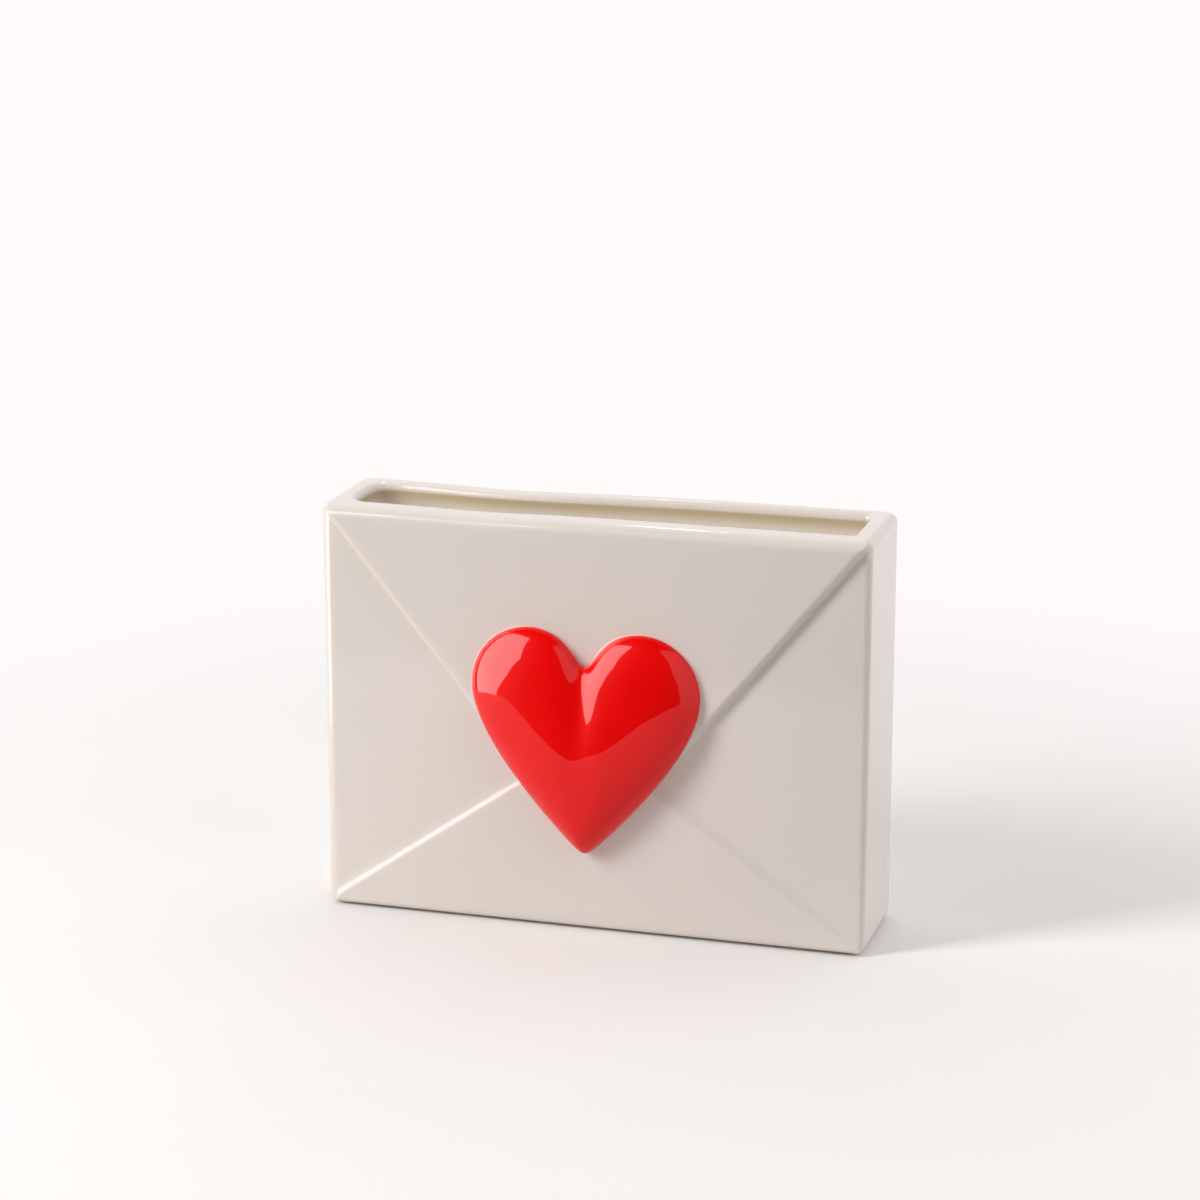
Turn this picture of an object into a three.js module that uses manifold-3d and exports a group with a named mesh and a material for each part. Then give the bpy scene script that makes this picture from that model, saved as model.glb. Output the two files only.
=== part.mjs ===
// Envelope slot vase with a heart seal.
// A hollow ceramic shell carries two clay slabs on its front, the envelope's flap and its bottom fold.
// A domed heart sits over the tip of the flap, and four thin pads stand under the floor.
// Millimetres, +Z up, X along the front, the front faces -Y.
// The origin is on the table, under the middle of the whole object's box.

import * as THREE from 'three';
import Module from 'manifold-3d';
import { mergeVertices } from 'three/addons/utils/BufferGeometryUtils.js';

const wasm = await Module();
wasm.setup();

// Shell
const bodyWidth = 203;
const bodyDepth = 47.5;
const bodyHeight = 151.4;
const frontWall = 9;
const rearWall = 7;
const sideWall = 8.5;
const floorThickness = 7;
const frontLeftRadius = 4.5;
const frontRightRadius = 2.5;
const rearLeftRadius = 10;
const rearRightRadius = 5;
const innerRightRadius = 3;
const innerFrontLeftRadius = 9;
const innerRearLeftRadius = 11;
const floorFillet = 6;

// Rolled rim and foot
const rimRoll = 3;
const rimFrontDrop = 4;
const rimFrontLand = 1.5;
const innerRoll = 2;
const footRoll = 3;
const footFrontRise = 2.5;
const footFrontLand = 1;

// The rear wall leans in where it sagged in the kiln, most at its rim
const sagDepth = 3;
const sagThickening = 2;
const sagPlace = -42;
const sagSpread = 50;

// Slabs on the front. The reach and the rise run to the point where a slab's two edges would meet.
const flapHeight = 3;
const flapBevel = 3;
const flapReach = 125.3;
const flapCornerDrop = 0.6;
const flapAside = 0.6;
const foldHeight = 1.2;
const foldStep = 5.5;
const foldSteepestShare = 0.65;
const foldRise = 76.5;
const foldCornerRise = 5.2;
const slabTipRound = 5;
const slabTipSpan = 12;
const slabEndRound = 1.4;

// Heart over the tip of the flap
const heartAboveFlapTip = 1.2;
const heartRelief = 12;
const heartHalfWidth = 42.4;
const heartLobeRadius = 22;
const heartWidestRise = 63.2;
const heartTipSlant = 20;
const heartSideDrop = 18;
const heartTipRound = 2;
const heartNotchDrop = 5.5;
const heartNotchWidth = 3.4;
const heartPlumpShare = 0.35;
const heartPlumpWidth = 12;
const heartValleyLoss = 0.16;
const heartValleyWidth = 18;
const heartValleyFoot = 38;
const heartValleyHead = 66;
const heartAside = -0.7;

// Pads under the floor
const padRadius = 5;
const padThickness = 1;
const padFromEnd = 16;
const padFromFace = 11;

// Space kept between pieces that are cut for each other
const clearance = 0.3;

// Mesh fineness
const cornerSteps = 6;
const longSteps = 14;
const shortSteps = 2;
const rollSteps = 4;
const wallSteps = 5;
const bevelSteps = 5;
const slabTipSteps = 6;
const heartStations = 18;
const heartArcSteps = 14;
const padSides = 32;
const mergeTolerance = 1e-4;

const halfWidth = bodyWidth / 2;
const quarterTurn = Math.PI / 2;

function mix(a, b, share) {
  return a + (b - a) * share;
}

// Solids

function solidOf(geometry) {
  const bare = geometry.clone();
  bare.deleteAttribute('normal');
  bare.deleteAttribute('uv');
  const merged = mergeVertices(bare, mergeTolerance);
  const vertProperties = new Float32Array(merged.attributes.position.array);
  const triVerts = new Uint32Array(merged.index.array);
  return new wasm.Manifold(new wasm.Mesh({ numProp: 3, vertProperties, triVerts }));
}

function geometryOf(solid) {
  const mesh = solid.getMesh();
  const geometry = new THREE.BufferGeometry();
  geometry.setAttribute('position', new THREE.BufferAttribute(mesh.vertProperties, 3));
  geometry.setIndex(new THREE.BufferAttribute(mesh.triVerts, 1));
  geometry.computeVertexNormals();
  return geometry;
}

function geometryFrom(points, triangles) {
  const geometry = new THREE.BufferGeometry();
  geometry.setFromPoints(points);
  geometry.setIndex(triangles);
  geometry.computeVertexNormals();
  return geometry;
}

// Joins rings of equal count into one closed skin. The first and last rings are closed by a fan.
function loft(rings) {
  const count = rings[0].length;
  const points = rings.flat();
  const triangles = [];
  for (let level = 0; level < rings.length - 1; level += 1) {
    for (let i = 0; i < count; i += 1) {
      const next = (i + 1) % count;
      const low = level * count;
      const high = low + count;
      triangles.push(low + i, low + next, high + next);
      triangles.push(low + i, high + next, high + i);
    }
  }
  const last = (rings.length - 1) * count;
  const firstCentre = points.push(centreOf(rings[0])) - 1;
  const lastCentre = points.push(centreOf(rings.at(-1))) - 1;
  for (let i = 0; i < count; i += 1) {
    const next = (i + 1) % count;
    triangles.push(firstCentre, next, i);
    triangles.push(lastCentre, last + i, last + next);
  }
  return geometryFrom(points, triangles);
}

function centreOf(ring) {
  const sum = new THREE.Vector3();
  ring.forEach((point) => sum.add(point));
  return sum.divideScalar(ring.length);
}

// Rolled edges
// A roll is a quarter ellipse from a wall to an end face. A slab that stands proud of the wall
// carries the first part of the front roll, and the shell carries the rest.

const flapRoll = { proud: flapHeight, depth: flapHeight + rimFrontLand, drop: rimFrontDrop };
const foldRoll = { proud: foldHeight, depth: foldHeight + footFrontLand, drop: footFrontRise };
const plainRimRoll = { proud: 0, depth: rimRoll, drop: rimRoll };
const plainFootRoll = { proud: 0, depth: footRoll, drop: footRoll };

function rollAngle(roll, behindSlabFace) {
  return Math.acos(1 - behindSlabFace / roll.depth);
}

function rollStep(roll, share) {
  const angle = mix(rollAngle(roll, roll.proud), quarterTurn, share);
  return {
    inset: roll.depth * (1 - Math.cos(angle)) - roll.proud,
    drop: roll.drop * (1 - Math.sin(angle)),
  };
}

function rollDropAt(roll, level) {
  return roll.drop * (1 - Math.sin(rollAngle(roll, roll.proud - level)));
}

// Shell
// Each ring is a rounded rectangle, counterclockwise from above. The outer wall climbs to the rim,
// rolls over it and comes down inside to the floor.

function sagAt(x, height) {
  const along = Math.exp(-(((x - sagPlace) / sagSpread) ** 2));
  const rise = Math.max(height - floorThickness, 0) / (bodyHeight - floorThickness);
  return along * rise * rise;
}

function shellRing(box, radii, frontHeight, otherHeight, sag) {
  const corners = [
    { x: box.right - radii.frontRight, y: box.front + radii.frontRight, r: radii.frontRight },
    { x: box.right - radii.rearRight, y: box.rear - radii.rearRight, r: radii.rearRight },
    { x: box.left + radii.rearLeft, y: box.rear - radii.rearLeft, r: radii.rearLeft },
    { x: box.left + radii.frontLeft, y: box.front + radii.frontLeft, r: radii.frontLeft },
  ];
  const outline = [];
  corners.forEach((corner, index) => {
    for (let step = 0; step <= cornerSteps; step += 1) {
      const angle = quarterTurn * (index - 1 + step / cornerSteps);
      const facing = Math.sin(angle);
      const x = corner.x + corner.r * Math.cos(angle);
      const y = corner.y + corner.r * facing;
      outline.push({ x, y, facing });
    }
    const from = outline.at(-1);
    const next = corners[(index + 1) % corners.length];
    const turn = quarterTurn * index;
    const to = { x: next.x + next.r * Math.cos(turn), y: next.y + next.r * Math.sin(turn) };
    const steps = index % 2 === 0 ? shortSteps : longSteps;
    for (let step = 1; step < steps; step += 1) {
      const share = step / steps;
      outline.push({ x: mix(from.x, to.x, share), y: mix(from.y, to.y, share), facing: from.facing });
    }
  });
  return outline.map(({ x, y, facing }) => {
    const frontness = facing < 0 ? facing * facing : 0;
    const rearness = facing > 0 ? facing * facing : 0;
    const height = mix(otherHeight, frontHeight, frontness);
    return new THREE.Vector3(x, y - rearness * sag * sagAt(x, height), height);
  });
}

function outerRing(frontInset, otherInset, frontHeight, otherHeight) {
  const box = {
    left: -halfWidth + otherInset,
    right: halfWidth - otherInset,
    front: frontInset,
    rear: bodyDepth - otherInset,
  };
  const radii = {
    frontLeft: frontLeftRadius,
    frontRight: frontRightRadius,
    rearRight: rearRightRadius - otherInset,
    rearLeft: rearLeftRadius - otherInset,
  };
  return shellRing(box, radii, frontHeight, otherHeight, sagDepth);
}

function innerRing(inset, height) {
  const box = {
    left: -halfWidth + sideWall + inset,
    right: halfWidth - sideWall - inset,
    front: frontWall + inset,
    rear: bodyDepth - rearWall - inset,
  };
  const radii = {
    frontLeft: innerFrontLeftRadius,
    frontRight: innerRightRadius,
    rearRight: innerRightRadius,
    rearLeft: innerRearLeftRadius,
  };
  return shellRing(box, radii, height, height, sagDepth + sagThickening);
}

function shellGeometry() {
  const rings = [];
  for (let step = rollSteps; step >= 0; step -= 1) {
    const front = rollStep(foldRoll, step / rollSteps);
    const other = rollStep(plainFootRoll, step / rollSteps);
    rings.push(outerRing(front.inset, other.inset, front.drop, other.drop));
  }
  for (let step = 1; step < wallSteps; step += 1) {
    const height = mix(footRoll, bodyHeight - rimRoll, step / wallSteps);
    rings.push(outerRing(0, 0, height, height));
  }
  for (let step = 0; step <= rollSteps; step += 1) {
    const front = rollStep(flapRoll, step / rollSteps);
    const other = rollStep(plainRimRoll, step / rollSteps);
    rings.push(outerRing(front.inset, other.inset, bodyHeight - front.drop, bodyHeight - other.drop));
  }
  for (let step = 0; step <= rollSteps; step += 1) {
    const angle = quarterTurn * (step / rollSteps);
    const inset = -innerRoll * (1 - Math.sin(angle));
    rings.push(innerRing(inset, bodyHeight - innerRoll * (1 - Math.cos(angle))));
  }
  const filletTop = floorThickness + floorFillet;
  for (let step = 1; step < wallSteps; step += 1) {
    rings.push(innerRing(0, mix(bodyHeight - innerRoll, filletTop, step / wallSteps)));
  }
  for (let step = 0; step <= rollSteps; step += 1) {
    const angle = quarterTurn * (step / rollSteps);
    const inset = floorFillet * (1 - Math.cos(angle));
    rings.push(innerRing(inset, filletTop - floorFillet * Math.sin(angle)));
  }
  return loft(rings);
}

// Slabs
// A slab is a triangle on the front wall. Its two slanted edges meet at a rounded tip, and its level
// edge follows the roll of the rim or of the foot. The flap's slanted edges have a round bevel, and
// those of the fold a soft step.

const flapSlab = {
  tip: bodyHeight - flapReach,
  corner: bodyHeight - flapCornerDrop,
  aside: flapAside,
  levelEdge: (level) => bodyHeight - rollDropAt(flapRoll, level),
  slantedEdge: (share) => ({
    level: flapHeight * Math.sin(quarterTurn * share),
    inset: flapBevel * (1 - Math.cos(quarterTurn * share)),
  }),
};
const foldSlab = {
  tip: foldRise,
  corner: foldCornerRise,
  aside: 0,
  levelEdge: (level) => rollDropAt(foldRoll, level),
  slantedEdge: (share) => ({
    level: foldHeight * softStep(share),
    inset: foldStep * share,
  }),
};

// Rises slowly from the panel, is steepest at a share of its width and rounds off onto the fold
function softStep(share) {
  if (share < foldSteepestShare) {
    return share * share / foldSteepestShare;
  }
  return 1 - (1 - share) * (1 - share) / (1 - foldSteepestShare);
}

function slabRing(slab, level, inset, y) {
  const slope = (slab.corner - slab.tip) / halfWidth;
  const tip = slab.tip + Math.sign(slope) * inset * Math.hypot(1, slope);
  const edge = slab.levelEdge(level);
  const reach = Math.sqrt(((edge - tip) / slope) ** 2 - slabTipRound ** 2);
  const ring = [
    new THREE.Vector3(slab.aside - reach, y, edge),
    new THREE.Vector3(slab.aside + reach, y, edge),
  ];
  for (let step = 0; step <= slabTipSteps; step += 1) {
    const x = slabTipSpan * (1 - 2 * step / slabTipSteps);
    ring.push(new THREE.Vector3(slab.aside + x, y, tip + slope * Math.hypot(x, slabTipRound)));
  }
  return slope > 0 ? ring.reverse() : ring;
}

function slabSolid(slab, grow, behind) {
  const rings = [];
  if (behind > 0) {
    rings.push(slabRing(slab, 0, -grow, behind));
  }
  for (let step = 0; step <= bevelSteps; step += 1) {
    const { level, inset } = slab.slantedEdge(step / bevelSteps);
    rings.push(slabRing(slab, level, inset - grow, -level));
  }
  return solidOf(loft(rings));
}

// The flat stretch of the front between its rounded corners, as a block that bounds both slabs
function frontBlock() {
  const left = frontLeftRadius - halfWidth;
  const right = halfWidth - frontRightRadius;
  const arcY = slabEndRound - flapHeight;
  const plan = new THREE.Shape();
  plan.moveTo(left, rimFrontLand);
  plan.lineTo(left, arcY);
  plan.absarc(left + slabEndRound, arcY, slabEndRound, -2 * quarterTurn, -quarterTurn);
  plan.absarc(right - slabEndRound, arcY, slabEndRound, -quarterTurn, 0);
  plan.lineTo(right, rimFrontLand);
  plan.closePath();
  const options = { depth: bodyHeight, bevelEnabled: false, curveSegments: rollSteps };
  return solidOf(new THREE.ExtrudeGeometry(plan, options));
}

// Heart
// The outline is given as an upper and a lower edge over the distance from its middle line.
// Every upright slice between them is half an ellipse, plumper beside the notch and lowered near
// the middle by a shallow valley.

const heartLobeCentre = heartHalfWidth - heartLobeRadius;

function heartLowerEdge() {
  return new THREE.CubicBezierCurve(
    new THREE.Vector2(0, 0),
    new THREE.Vector2(heartTipSlant, heartTipSlant),
    new THREE.Vector2(heartHalfWidth, heartWidestRise - heartSideDrop),
    new THREE.Vector2(heartHalfWidth, heartWidestRise),
  );
}

function heartTop(x) {
  const across = Math.min(Math.abs(x - heartLobeCentre) / heartLobeRadius, 1);
  const lobe = heartWidestRise + heartLobeRadius * Math.sqrt(1 - across * across);
  return lobe - heartNotchDrop * Math.exp(-x / heartNotchWidth);
}

// The share of its height that the dome keeps in the valley, which fades out below the notch
function valleyShare(x, height) {
  const across = Math.exp(-((x / heartValleyWidth) ** 2));
  const along = THREE.MathUtils.smoothstep(height, heartValleyFoot, heartValleyHead);
  return 1 - heartValleyLoss * across * along;
}

// How much of its height a slice has at an angle from its lower end
function sliceRise(x, angle) {
  const besideNotch = angle > Math.PI / 2 ? Math.exp(-((x / heartPlumpWidth) ** 2)) : 0;
  return Math.sin(angle) ** (1 - heartPlumpShare * besideNotch);
}

function heartSlices() {
  const edge = heartLowerEdge();
  const half = [];
  for (let step = 0; step < heartStations; step += 1) {
    const point = edge.getPoint(step / heartStations);
    const low = Math.hypot(point.y, heartTipRound);
    half.push({ x: point.x, low, high: heartTop(point.x) });
  }
  half.push({ x: heartHalfWidth, low: heartWidestRise, high: heartWidestRise });
  const mirrored = half.slice(1).reverse().map((slice) => ({ ...slice, x: -slice.x }));
  return [...mirrored, ...half];
}

function heartSolid() {
  const slices = heartSlices();
  const longest = Math.max(...slices.map((slice) => slice.high - slice.low));
  const fullness = heartRelief / (longest / 2);
  const points = [];
  const columns = slices.map((slice) => {
    const chord = slice.high - slice.low;
    const addPoint = (out, height) => points.push(new THREE.Vector3(slice.x, -out, height)) - 1;
    if (chord === 0) {
      const rim = addPoint(flapHeight, slice.low);
      const foot = addPoint(0, slice.low);
      return { dome: new Array(heartArcSteps + 1).fill(rim), back: [foot, foot] };
    }
    const dome = [];
    for (let step = 0; step <= heartArcSteps; step += 1) {
      const angle = Math.PI * (step / heartArcSteps);
      const height = slice.low + (chord / 2) * (1 - Math.cos(angle));
      const rise = sliceRise(slice.x, angle) * valleyShare(slice.x, height);
      dome.push(addPoint(flapHeight + fullness * (chord / 2) * rise, height));
    }
    return { dome, back: [addPoint(0, slice.low), addPoint(0, slice.high)] };
  });
  const triangles = [];
  const addTriangle = (a, b, c) => {
    if (a !== b && b !== c && c !== a) {
      triangles.push(a, b, c);
    }
  };
  const addQuad = (a, b, c, d) => {
    addTriangle(a, b, c);
    addTriangle(a, c, d);
  };
  for (let i = 0; i < columns.length - 1; i += 1) {
    const here = columns[i];
    const next = columns[i + 1];
    for (let step = 0; step < heartArcSteps; step += 1) {
      addQuad(here.dome[step], next.dome[step], next.dome[step + 1], here.dome[step + 1]);
    }
    addQuad(here.back[0], next.back[0], next.dome[0], here.dome[0]);
    addQuad(here.dome.at(-1), next.dome.at(-1), next.back[1], here.back[1]);
    addQuad(here.back[1], next.back[1], next.back[0], here.back[0]);
  }
  const geometry = geometryFrom(points, triangles);
  geometry.translate(heartAside, 0, flapSlab.tip + heartAboveFlapTip);
  return solidOf(geometry);
}

// Pieces

const ivoryGlaze = new THREE.MeshStandardMaterial({ color: 0xd9cfc4, roughness: 0.18, metalness: 0 });
const redGlaze = new THREE.MeshStandardMaterial({ color: 0xd4100c, roughness: 0.08, metalness: 0 });
const padFelt = new THREE.MeshStandardMaterial({ color: 0xb9b2a6, roughness: 0.95, metalness: 0 });

function piece(name, geometry, material) {
  const mesh = new THREE.Mesh(geometry, material);
  mesh.name = name;
  return mesh;
}

const block = frontBlock();
const flap = slabSolid(flapSlab, 0, 0).intersect(block);
const flapCutter = slabSolid(flapSlab, clearance, rimFrontLand);
const foldCutter = slabSolid(foldSlab, clearance, rimFrontLand);
const fold = slabSolid(foldSlab, 0, 0).intersect(block).subtract(flapCutter);
const heart = heartSolid().subtract(flapCutter).subtract(foldCutter);

const ceramic = new THREE.Group();
ceramic.add(piece('vase_body', shellGeometry(), ivoryGlaze));
ceramic.add(piece('top_flap', geometryOf(flap), ivoryGlaze));
ceramic.add(piece('bottom_fold', geometryOf(fold), ivoryGlaze));
ceramic.add(piece('heart_seal', geometryOf(heart), redGlaze));
ceramic.position.set(0, 0, padThickness);

const pads = new THREE.Group();
const padPlaces = [
  ['foot_pad_front_left', -halfWidth + padFromEnd, padFromFace],
  ['foot_pad_front_right', halfWidth - padFromEnd, padFromFace],
  ['foot_pad_rear_left', -halfWidth + padFromEnd, bodyDepth - padFromFace],
  ['foot_pad_rear_right', halfWidth - padFromEnd, bodyDepth - padFromFace],
];
padPlaces.forEach(([name, x, y]) => {
  const disc = new THREE.CylinderGeometry(padRadius, padRadius, padThickness, padSides);
  const pad = piece(name, disc, padFelt);
  pad.rotation.x = quarterTurn;
  pad.position.set(x, y, padThickness / 2);
  pads.add(pad);
});

const vase = new THREE.Group();
vase.add(ceramic, pads);
const reach = new THREE.Box3().setFromObject(vase);
vase.position.y = -(reach.min.y + reach.max.y) / 2;

export default vase;
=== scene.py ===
# Envelope slot vase with a heart seal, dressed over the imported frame.
# Shapes are worked out in millimetres, x from the middle, y back from the front wall and z up from
# the foot of the ceramic. They are put in the frame's metres when a mesh is made.

import math
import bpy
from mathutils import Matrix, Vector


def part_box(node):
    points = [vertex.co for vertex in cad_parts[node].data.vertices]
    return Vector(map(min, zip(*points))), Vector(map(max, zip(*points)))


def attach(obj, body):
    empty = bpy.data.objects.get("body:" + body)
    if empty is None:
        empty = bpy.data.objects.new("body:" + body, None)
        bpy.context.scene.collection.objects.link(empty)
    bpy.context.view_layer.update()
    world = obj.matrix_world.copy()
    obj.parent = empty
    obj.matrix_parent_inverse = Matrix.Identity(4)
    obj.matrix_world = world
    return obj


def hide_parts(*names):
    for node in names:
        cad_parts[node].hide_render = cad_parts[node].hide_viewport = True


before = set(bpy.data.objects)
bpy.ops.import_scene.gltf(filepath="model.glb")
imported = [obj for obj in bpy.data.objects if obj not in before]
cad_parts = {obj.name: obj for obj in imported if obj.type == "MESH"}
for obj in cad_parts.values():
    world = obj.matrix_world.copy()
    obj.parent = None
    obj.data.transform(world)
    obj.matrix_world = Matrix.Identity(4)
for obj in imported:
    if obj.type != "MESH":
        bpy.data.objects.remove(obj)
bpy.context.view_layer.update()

from types import SimpleNamespace

import bpy
import numpy as np
from mathutils import Matrix, Vector

MM = 0.001

# Sizes taken from the frame

shell_low, shell_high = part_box("vase_body")
flap_low, flap_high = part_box("top_flap")
fold_low, fold_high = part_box("bottom_fold")
heart_low, heart_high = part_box("heart_seal")

HALF_WIDTH = (shell_high.x - shell_low.x) / 2 / MM
DEPTH = (shell_high.y - shell_low.y) / MM
HEIGHT = (shell_high.z - shell_low.z) / MM
FLAP_HEIGHT = (shell_low.y - flap_low.y) / MM
FOLD_HEIGHT = (shell_low.y - fold_low.y) / MM
HEART_HALF_WIDTH = (heart_high.x - heart_low.x) / 2 / MM
HEART_ASIDE = (heart_high.x + heart_low.x) / 2 / MM
HEART_FOOT = (heart_low.z - shell_low.z) / MM

# Shell, millimetres

FRONT_WALL = 9
REAR_WALL = 7
SIDE_WALL = 8.5
FLOOR_THICKNESS = 7
FRONT_LEFT_CORNER = 4.5
FRONT_RIGHT_CORNER = 2.5
REAR_LEFT_CORNER = 10
REAR_RIGHT_CORNER = 5
INNER_RIGHT_CORNER = 3
INNER_FRONT_LEFT_CORNER = 9
INNER_REAR_LEFT_CORNER = 11
FLOOR_FILLET = 6
INNER_ROLL = 2.2
SAG_DEPTH = 3
SAG_THICKENING = 2
SAG_PLACE = -42
SAG_SPREAD = 50
RIM_DIP = 0.6
RIM_DIP_PLACE = -42
RIM_DIP_SPREAD = 24
RIM_DIP_REACH = 14
UNDERLAP = 0.06
LINING_START = 2.3
LINING_STOP = 3.3
LINING_PALE = 9
BARE_START = 0.1
BARE_STOP = 0.5
# Painted shade: the top of the rim is painted a little darker, toning down the strong light it gets from
# above.
RIM_SHADE_START = 2.2
RIM_SHADE_STOP = 0.2

# Slabs, in millimetres unless named a share

FLAP_BEVEL = 3
FLAP_REACH = 125.3
FLAP_CORNER_DROP = 0.6
FLAP_ASIDE = 0.6
FOLD_STEP = 5.5
FOLD_STEEPEST_SHARE = 0.73
FOLD_RISE = 76.5
FOLD_CORNER_RISE = 5.2
FOLD_SOFTENING = 0.12
SLAB_TIP_ROUND = 5
SLAB_END_BEFORE = 0.9
SLAB_END_AFTER = 1.1
CREASE_FILLET = 0.45
SLAB_LAP = 0.3
SLAB_SINK = 0.05
SLAB_LEAST_HEIGHT = 0.0001
ROLL_LAP = 0.08
ROLL_SINK = 1.4
FLAP_ROLL_BEHIND = 1.5
FLAP_ROLL_DROP = 4
FOLD_ROLL_BEHIND = 1
FOLD_ROLL_DROP = 2.5
PLAIN_ROLL = 3

# Heart, in millimetres unless named a share

HEART_FULLNESS = 12
HEART_LOBE_RADIUS = 22
HEART_WIDEST_RISE = 63.2
HEART_TIP_SLANT = 20
HEART_SIDE_DROP = 18
HEART_TIP_ROUND = 2
HEART_NOTCH_DROP = 5.5
HEART_NOTCH_WIDTH = 3.4
HEART_PLUMP_SHARE = 0.35
HEART_PLUMP_WIDTH = 12
HEART_VALLEY_SHARE = 0.16
HEART_VALLEY_WIDTH = 18
HEART_VALLEY_FOOT = 38
HEART_VALLEY_HEAD = 66
HEART_SOFT_WIDTH = 14
HEART_SOFT_FOOT = 10
HEART_SOFT_HEAD = 26
BEAD_WIDTH = 0.3
BEAD_HEIGHT = 0.35
BEAD_GAP = 0.02
BEAD_LAP = 0.3
BEAD_SINK = 0.1

# Pads, in millimetres unless named a share

PAD_EDGE = 0.25
PAD_EDGE_SHARE = 0.3

# Mesh fineness

CORNER_STEPS = 10
LONG_STEPS = 110
SHORT_STEPS = 20
ROLL_STEPS = 10
WALL_STEPS = 40
INNER_STEPS = 60
SLAB_STATIONS = 150
SLAB_END_STATIONS = 12
SHARE_STEPS = 400
FILLET_STEPS = 4
EDGE_STEPS = 10
FACE_STEPS = 18
HEART_STATIONS = 150
HEART_ARC_STEPS = 90
HEART_EDGE_STEPS = 400
SOFT_PASSES = 20
BEAD_STEPS = 5
PAD_SIDES = 48

# Meshes

def placed(points):
    """Millimetres from the front wall and the foot, as metres in the frame."""
    origin = np.array([0, shell_low.y, shell_low.z])
    return np.asarray(points, float) * MM + origin


def grid_faces(rows, columns, closed=False):
    across = columns if closed else columns - 1
    row, column = np.meshgrid(np.arange(rows - 1), np.arange(across), indexing="ij")
    beside = (column + 1) % columns
    low, high = row * columns, (row + 1) * columns
    quads = np.stack([low + column, low + beside, high + beside, high + column], -1)
    return quads.reshape(-1, 4)


def make_piece(name, points, faces, materials, replaced):
    """A smooth piece that rides on the vase and stands for a node. Faces may be arrays or lists."""
    mesh = bpy.data.meshes.new(name)
    mesh.from_pydata(placed(points).tolist(), [], [list(map(int, face)) for face in faces])
    for material in materials:
        mesh.materials.append(material)
    mesh.shade_smooth()
    mesh.update()
    piece = bpy.data.objects.new(name, mesh)
    bpy.context.collection.objects.link(piece)
    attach(piece, "root")
    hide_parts(replaced)
    return piece


def paint(piece, name, values):
    """Keeps one number for each point, which the glaze reads."""
    attribute = piece.data.attributes.new(name, "FLOAT", "POINT")
    attribute.data.foreach_set("value", np.asarray(values, np.float32).ravel())


def smooth_share(value, start, stop):
    share = np.clip((value - start) / (stop - start), 0, 1)
    return share * share * (3 - 2 * share)


def paint_by_height(piece, z):
    """Marks the bare clay at the foot, and the top of the rim, which is painted a little darker as painted
    shade against the strong light it gets from above.
    """
    paint(piece, "bare", 1 - smooth_share(z, BARE_START, BARE_STOP))
    paint(piece, "edge", smooth_share(z, HEIGHT - RIM_SHADE_START, HEIGHT - RIM_SHADE_STOP))


# Rolled edges, each a quarter ellipse from a wall to an end face

FLAP_ROLL = SimpleNamespace(
    proud=FLAP_HEIGHT,
    depth=FLAP_HEIGHT + FLAP_ROLL_BEHIND,
    drop=FLAP_ROLL_DROP,
    plain=PLAIN_ROLL,
)
FOLD_ROLL = SimpleNamespace(
    proud=FOLD_HEIGHT,
    depth=FOLD_HEIGHT + FOLD_ROLL_BEHIND,
    drop=FOLD_ROLL_DROP,
    plain=PLAIN_ROLL,
)


def ellipse_drop(behind, depth, drop):
    return drop * (1 - np.sqrt(1 - np.clip(1 - behind / depth, 0, 1) ** 2))


def roll_drop(roll, level, frontness):
    """How far a rolled edge has dropped where it stands at a level before the wall."""
    front = ellipse_drop(roll.proud - level, roll.depth, roll.drop)
    start = ellipse_drop(roll.proud, roll.depth, roll.drop)
    behind = ellipse_drop(np.clip(-level, 0, None), roll.plain, roll.plain)
    plain = np.where(level > 0, roll.plain + front - start, behind)
    return plain + (front - plain) * frontness


def rim_dip(x):
    return -RIM_DIP * np.exp(-(((x - RIM_DIP_PLACE) / RIM_DIP_SPREAD) ** 2))


# Shell

def plan_outline(box, radii):
    """Points of a rounded rectangle and how far each faces back, from its front right corner."""
    left, right, front, rear = box
    corners = [(right, front, -1, 1), (right, rear, -1, -1), (left, rear, 1, -1), (left, front, 1, 1)]
    centres = [(x + sx * r, y + sy * r, r) for (x, y, sx, sy), r in zip(corners, radii)]
    points = []
    for index, (cx, cy, r) in enumerate(centres):
        turns = np.radians(90) * (index - 1 + np.arange(CORNER_STEPS + 1) / CORNER_STEPS)
        arc = np.stack([cx + r * np.cos(turns), cy + r * np.sin(turns), np.sin(turns)], 1)
        points.append(arc)
        nx, ny, nr = centres[(index + 1) % 4]
        turn = np.radians(90) * index
        target = np.array([nx + nr * math.cos(turn), ny + nr * math.sin(turn), math.sin(turn)])
        steps = SHORT_STEPS if index % 2 == 0 else LONG_STEPS
        shares = (np.arange(1, steps) / steps)[:, None]
        points.append(arc[-1] + (target - arc[-1]) * shares)
    return np.concatenate(points)


def shell_ring(box, radii, front_height, other_height, sag):
    outline = plan_outline(box, radii)
    x, y, facing = outline.T
    frontness = np.where(facing < 0, facing**2, 0)
    rearness = np.where(facing > 0, facing**2, 0)
    z = other_height + (front_height - other_height) * frontness
    z = z + rim_dip(x) * smooth_share(z, HEIGHT - RIM_DIP_REACH, HEIGHT)
    along = np.exp(-(((x - SAG_PLACE) / SAG_SPREAD) ** 2))
    rise = np.clip(z - FLOOR_THICKNESS, 0, None) / (HEIGHT - FLOOR_THICKNESS)
    return np.stack([x, y - rearness * sag * along * rise**2, z], 1)


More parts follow.
